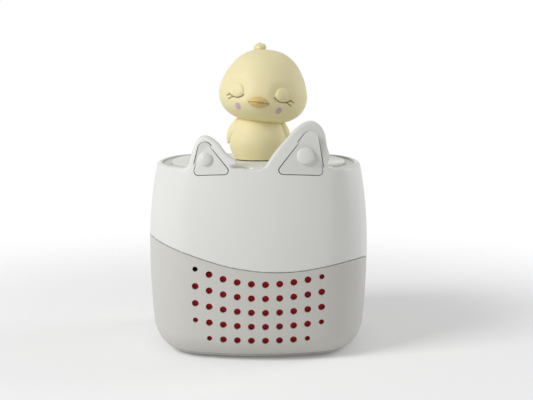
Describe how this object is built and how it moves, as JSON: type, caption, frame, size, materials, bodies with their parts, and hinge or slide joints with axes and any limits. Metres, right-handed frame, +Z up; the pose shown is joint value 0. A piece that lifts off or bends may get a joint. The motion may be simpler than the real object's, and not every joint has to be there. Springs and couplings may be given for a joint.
{
  "type": "audio story player",
  "caption": "Rounded-square story player with two pointed ears holding volume buttons, a wavy two-tone seam, a front speaker grille and a lift-off duckling figure on a flat top plate.",
  "frame": {"origin": "middle of the base, on the surface it stands on", "axes": "+Z up, -Y to the front with the grille and the ears, +X to the right seen from the front"},
  "size_m": [0.12, 0.12, 0.1638],
  "materials": {
    "shell_light": "fine satin moulded ABS, warm white",
    "button_light": "satin moulded ABS",
    "shell_greige": "satin moulded ABS, greige",
    "foot_rubber": "soft black rubber",
    "grille_cloth": "fine woven speaker cloth, deep red",
    "light_lens": "clear light guide, glowing pale green",
    "inner_black": "black moulded plastic",
    "board_green": "green solder mask",
    "steel": "nickel plated steel",
    "cone_paper": "pressed paper cone",
    "copper": "enamelled copper winding",
    "surround_rubber": "rubber roll",
    "cell_wrap": "shrink wrap",
    "lead_jacket": "soft lead jacket",
    "vinyl_yellow": "soft matt vinyl, pale yellow",
    "vinyl_beak": "soft matt vinyl, tan"
  },
  "bodies": {
    "housing": {"baffle_screws": "steel", "battery_cell": "cell_wrap", "battery_holder": "inner_black", "battery_lead": "lead_jacket", "big_ear_back": "shell_light", "board_chips": "inner_black", "board_screws": "steel", "bottom_cover": "shell_greige", "charging_socket": "steel", "docking_magnet": "steel", "headphone_jack": "inner_black", "housing_screws": "steel", "light_pipe": "light_lens", "lower_housing": "shell_greige", "main_board": "board_green", "power_switch": "inner_black", "reader_board": "board_green", "reader_lead": "lead_jacket", "reader_screws": "steel", "rubber_feet": "foot_rubber", "small_ear_back": "shell_light", "speaker_baffle": "inner_black", "speaker_cloth": "grille_cloth", "speaker_frame": "inner_black", "speaker_lead": "lead_jacket", "speaker_magnet": "steel", "speaker_screws": "steel", "speaker_surround": "surround_rubber", "status_led": "light_lens", "top_plate": "shell_light", "top_ring": "shell_greige", "upper_shell": "shell_light", "volume_down_board": "board_green", "volume_down_switch": "inner_black", "volume_up_board": "board_green", "volume_up_switch": "inner_black"},
    "volume_up": {"volume_up_button": "button_light"},
    "volume_down": {"volume_down_button": "button_light"},
    "power": {"power_button": "shell_greige"},
    "cone": {"speaker_cone": "cone_paper", "voice_coil": "copper", "dust_cap": "cone_paper"},
    "figure": {"figure_base": "inner_black", "figure_beak": "vinyl_beak", "figure_body": "vinyl_yellow", "figure_head": "vinyl_yellow", "figure_magnet": "steel", "figure_tag": "inner_black", "figure_tuft": "vinyl_yellow", "figure_wings": "vinyl_yellow"}
  },
  "joints": [
    {"name": "volume_up_press", "type": "slide", "parent": "housing", "child": "volume_up", "axis": [0, 0.9724, -0.2334], "range_m": [0, 0.0006], "stiffness_N_per_m": 900},
    {"name": "volume_down_press", "type": "slide", "parent": "housing", "child": "volume_down", "axis": [0, 0.9724, -0.2334], "range_m": [0, 0.0006], "stiffness_N_per_m": 900},
    {"name": "power_press", "type": "slide", "parent": "housing", "child": "power", "axis": [0, -1, 0], "range_m": [0, 0.0006], "stiffness_N_per_m": 900},
    {"name": "cone_stroke", "type": "slide", "parent": "housing", "child": "cone", "axis": [0, 1, 0], "range_m": [-0.0008, 0.0008], "stiffness_N_per_m": 600},
    {"name": "figure_lift", "type": "slide", "parent": "housing", "child": "figure", "axis": [0, 0, 1], "range_m": [0, 0.07]}
  ]
}
